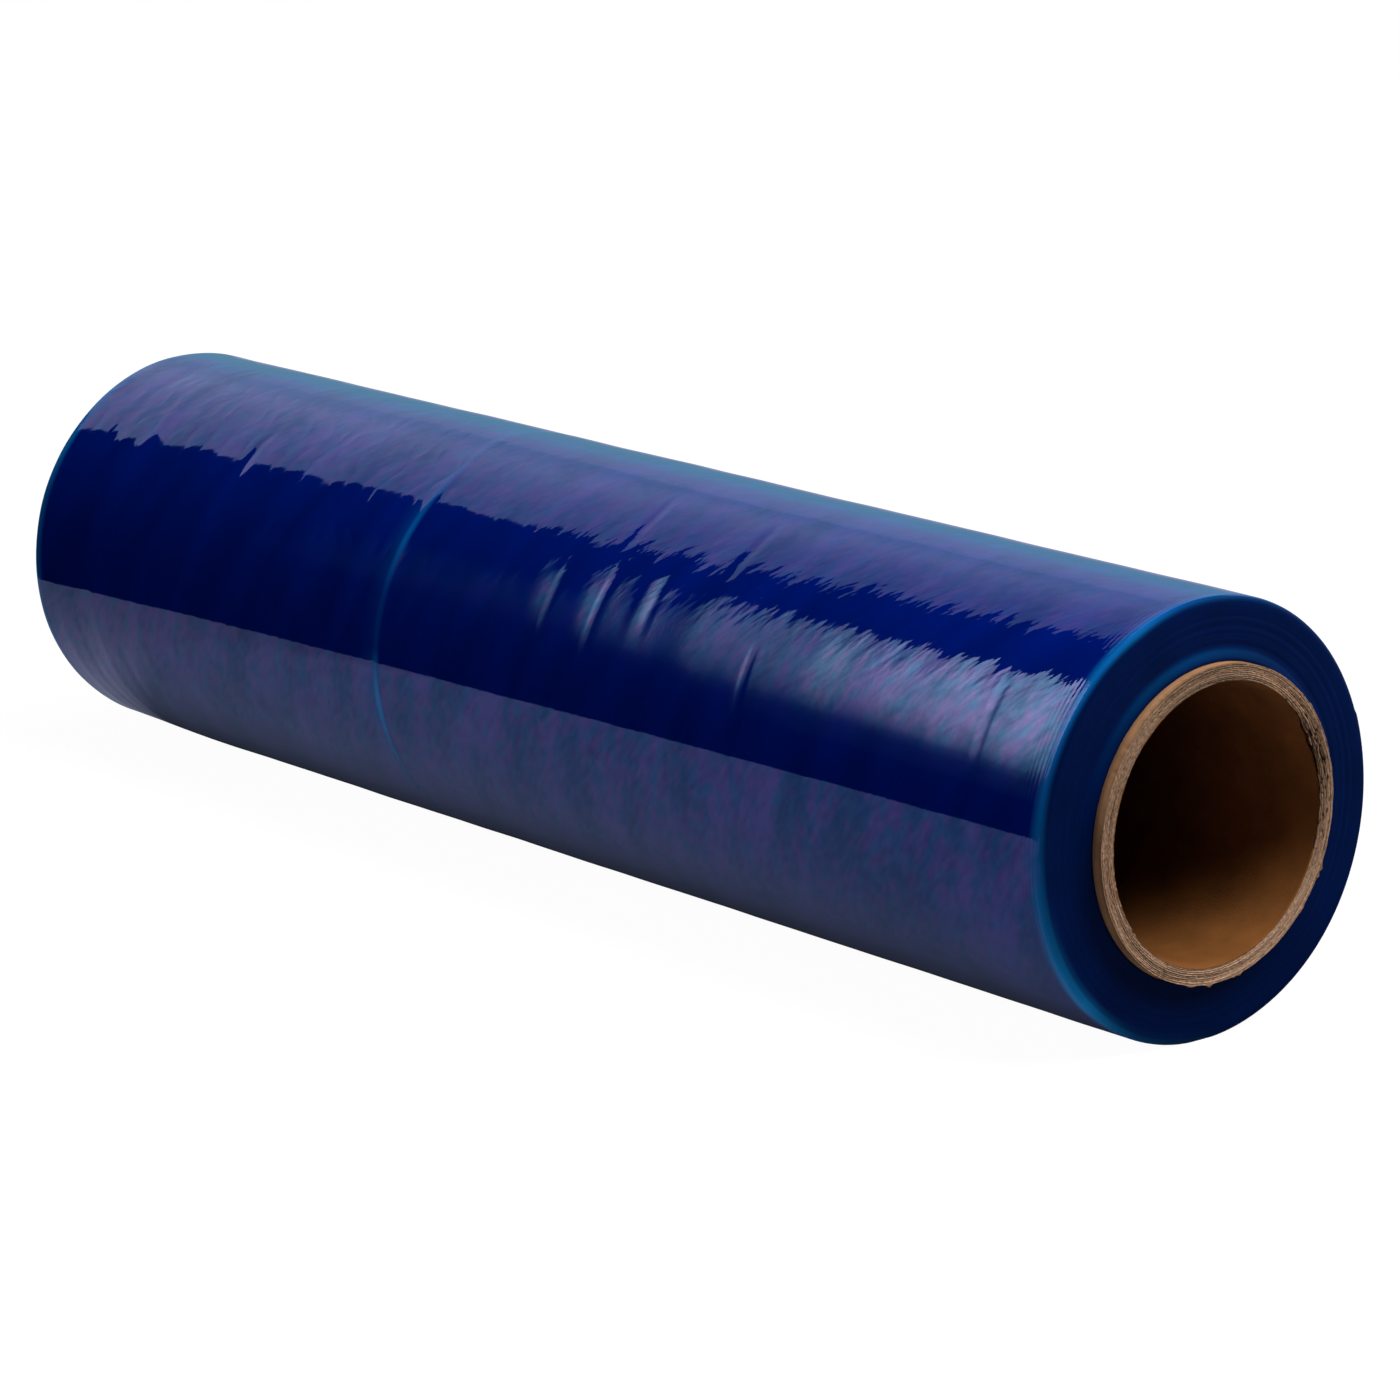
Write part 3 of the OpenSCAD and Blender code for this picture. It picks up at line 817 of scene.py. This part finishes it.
def table_material(s):
    """Matt white table. Seen by the camera it is nearly white by itself, and the roll's shadow stays on it.
    Mirrored in the film it darkens towards the roll, which keeps the light off it."""
    material, tree, out = new_material("white_table")
    path = add_node(tree, "LightPath")
    plain = add_node(tree, "BsdfDiffuse", {"Color": (0.3, 0.3, 0.3, 1)})
    seen = add_node(tree, "BsdfDiffuse", {"Color": (0.1, 0.1, 0.1, 1)})
    place = add_node(tree, "TexCoord").outputs["Object"]
    # Its own light makes up for the lamps' fall away from the roll, from 0.3 m to 0.8 m off
    away = add_node(tree, "VectorMath", {0: place}, operation="LENGTH").outputs["Value"]
    own_light = add_node(tree, "MapRange", {
        "Value": away, "From Min": 0.3, "From Max": 0.8, "To Min": 0.97, "To Max": 1.0})
    glow = add_node(tree, "Emission", {"Color": (1, 1, 1, 1), "Strength": own_light})
    lit = add_node(tree, "AddShader", {0: seen, 1: glow})
    x, y = add_node(tree, "SeparateXYZ", {0: place}).outputs[:2]
    first, last = TABLE_TONES[0][0], TABLE_TONES[-1][0]
    share = add_node(tree, "MapRange", {"Value": y, "From Min": first, "From Max": last})
    ramp = add_node(tree, "ValToRGB", {"Fac": share})
    fill_ramp(ramp, [
        ((at - first) / (last - first), [level * c for c in TABLE_COLOUR]) for at, level in TABLE_TONES])
    # Past the roll's far end less and less keeps the light off it
    past_end = add_node(tree, "MapRange", {"Value": x, "From Min": -0.216, "From Max": -0.246})
    beside = add_node(tree, "MapRange", {
        "Value": y, "From Min": -0.02, "From Max": -0.06, "To Min": 0.4, "To Max": 1.0})
    unshaded = add_node(tree, "Math", {0: past_end, 1: beside}, operation="MULTIPLY")
    tone = add_node(tree, "Mix", {FACTOR: unshaded, FIRST: ramp, SECOND: TABLE_PAST_END}, data_type="RGBA")
    mirrored = add_node(tree, "Emission", {"Color": tone.outputs[RESULT], "Strength": s.table})
    look = add_node(tree, "MixShader", {0: path.outputs["Is Glossy Ray"], 1: plain, 2: mirrored})
    mix = add_node(tree, "MixShader", {0: path.outputs["Is Camera Ray"], 1: look, 2: lit})
    tree.links.new(mix.outputs[0], out.inputs[0])
    return material


def strip_point(along, up):
    return STRIP_AT + STRIP_WAY * along + Vector((0, 0, up))


def strip_left(up):
    return float(looked_up(up, STRIP_LEFT))


def strip_tone(point):
    """Brightest at the upper right, fading out below and to the left, with a faint spill past its left edge."""
    along, up = (point - STRIP_AT).dot(STRIP_WAY), point.z
    left = strip_left(up)
    if along < left - 0.0002:
        return SPILL * between(up, 0.30, 0.38) * between(up, 0.64, 0.56) * (along > left - SPILL_WIDTH)
    right = looked_up(along + STRIP_SLANT * (up - STRIP_MIDDLE), STRIP_ACROSS)
    high = looked_up(up, STRIP_UP)
    dim = 1 - min(between(high, 0, 0.6), between(right, 0, 0.9))
    return np.array((0.85 - 0.27 * dim, 0.93 + 0.08 * dim, 1.0 + 0.08 * dim)) * right * high


def overhead_tone(point, share):
    """Brighter towards the roll's far end, and fading into the backdrop at its back."""
    front = OVERHEAD_COLOUR * looked_up(point.x, OVERHEAD_LEVELS)
    return front + (OVERHEAD_BACK_COLOUR - front) * between(share, 0.45, 0.95)


class WRAP_OT_studio(bpy.types.Operator):
    """Sets the table, the softboxes, the lamps, the world and the camera"""
    bl_idname = "wrap.studio"
    bl_label = "Studio"

    def execute(self, context):
        scene = context.scene
        s = scene.wrap_studio
        set_camera(scene, s.lens)
        edges = [[(x, y, 0) for x, y in edge] for edge in (TABLE_FRONT, TABLE_BACK)]
        stage_card("table", edges, (), table_material(s))
        front, back = [[Vector((x, y, OVERHEAD_Z)) for x, y in edge] for edge in (OVERHEAD_FRONT, OVERHEAD_BACK)]
        shares = np.linspace(0, 1, OVERHEAD_ROWS)
        rows = [[a.lerp(b, share) for a, b in zip(front, back)] for share in shares]
        tones = [[overhead_tone(point, share) for point in row] for row, share in zip(rows, shares)]
        overhead = stage_card("overhead_softbox", rows, tones, glow_material("overhead_diffuser", s.overhead))
        rows = []
        for up in np.linspace(STRIP_LEFT[0][0], STRIP_LEFT[-1][0], STRIP_POINTS):
            left = strip_left(up)
            # Two points past the edge hold the spill
            places = [left - 0.09, left - 0.0005, *np.linspace(left, STRIP_RIGHT, STRIP_POINTS)]
            rows.append([strip_point(along, up) for along in places])
        tones = [[strip_tone(point) for point in row] for row in rows]
        strip = stage_card("strip_softbox", rows, tones, glow_material("strip_diffuser", s.strip))
        for card in (overhead, strip):
            card.visible_camera = False
            card.visible_diffuse = False
        for name, place, size, power in LAMPS:
            add_lamp(name, place, size, power)
        make_world(s)
        scene.view_settings.view_transform = "Standard"
        return {"FINISHED"}


def set_camera(scene, lens):
    """The camera where the photograph was taken from."""
    camera = bpy.data.objects.new("camera", bpy.data.cameras.new("camera"))
    scene.collection.objects.link(camera)
    camera.data.lens, camera.data.sensor_width, camera.data.clip_end = lens, SENSOR, SEES
    end = Vector((LOOK_FROM_X, 0, AXIS_Z))
    camera.location = end + direction(CAMERA_AZIMUTH, CAMERA_ELEVATION) * CAMERA_DISTANCE
    camera.rotation_euler = (-direction(LOOK_YAW, LOOK_PITCH)).to_track_quat("-Z", "Y").to_euler()
    scene.camera = camera


def add_lamp(name, place, size, power):
    """A square area lamp that faces the roll."""
    data = bpy.data.lights.new(name, "AREA")
    data.size, data.energy = size, power
    lamp = bpy.data.objects.new(name, data)
    bpy.context.scene.collection.objects.link(lamp)
    lamp.location = place
    lamp.rotation_euler = (Vector((0, 0, AXIS_Z)) - Vector(place)).to_track_quat("-Z", "Y").to_euler()
    lamp.visible_camera = False
    lamp.visible_glossy = False


def make_world(s):
    """White to the camera. Elsewhere a dim studio, with a blue backdrop low behind the roll for reflections."""
    world = bpy.data.worlds.new("studio")
    bpy.context.scene.world = world
    world.use_nodes = True
    tree = world.node_tree
    tree.nodes.clear()
    path = add_node(tree, "LightPath")
    way = add_node(tree, "TexCoord").outputs["Generated"]
    xyz = add_node(tree, "SeparateXYZ", {0: way})
    rise = add_node(tree, "MapRange", {
        "Value": xyz.outputs["Z"], "From Min": BACKDROP_LOW, "From Max": BACKDROP_HIGH})
    ramp = add_node(tree, "ValToRGB", {"Fac": rise})
    reach = BACKDROP_HIGH - BACKDROP_LOW
    fill_ramp(ramp, [((z - BACKDROP_LOW) / reach, colour) for z, colour in BACKDROP_TONES])
    behind = add_node(tree, "MapRange", {"Value": xyz.outputs["Y"], "From Min": 0.15, "From Max": 0.3})
    mirrored = add_node(tree, "Background", {"Color": ramp, "Strength": behind})
    dim = add_node(tree, "Background", {"Color": (1, 1, 1, 1), "Strength": s.ambient})
    white = add_node(tree, "Background", {"Color": (1, 1, 1, 1), "Strength": 1.0})
    seen = add_node(tree, "Math", {
        0: path.outputs["Is Camera Ray"], 1: path.outputs["Is Transmission Ray"]}, operation="MAXIMUM")
    unseen = add_node(tree, "MixShader", {0: path.outputs["Is Glossy Ray"], 1: dim, 2: mirrored})
    sky = add_node(tree, "MixShader", {0: seen, 1: unseen, 2: white})
    out = add_node(tree, "OutputWorld")
    tree.links.new(sky.outputs[0], out.inputs[0])


class WRAP_PT_panel(bpy.types.Panel):
    """Holds a button for each step: the studio, the core and the film"""
    bl_idname = "WRAP_PT_panel"
    bl_label = "Wrap roll"
    bl_space_type = "VIEW_3D"
    bl_region_type = "UI"
    bl_category = "Wrap roll"

    def draw(self, context):
        for step in STEPS:
            self.layout.operator(step.bl_idname)


STEPS = (WRAP_OT_studio, WRAP_OT_core, WRAP_OT_film)
SETTINGS = {"wrap_film": WrapFilmSettings, "wrap_core": WrapCoreSettings, "wrap_studio": WrapStudioSettings}


def register():
    for cls in (*SETTINGS.values(), *STEPS, WRAP_PT_panel):
        bpy.utils.register_class(cls)
    for name, group in SETTINGS.items():
        setattr(bpy.types.Scene, name, bpy.props.PointerProperty(type=group))


def unregister():
    for name in SETTINGS:
        delattr(bpy.types.Scene, name)
    for cls in reversed((*SETTINGS.values(), *STEPS, WRAP_PT_panel)):
        bpy.utils.unregister_class(cls)


def main():
    register()
    bpy.ops.wrap.studio()
    bpy.ops.wrap.core()
    bpy.ops.wrap.film()


if __name__ == "__main__":
    main()
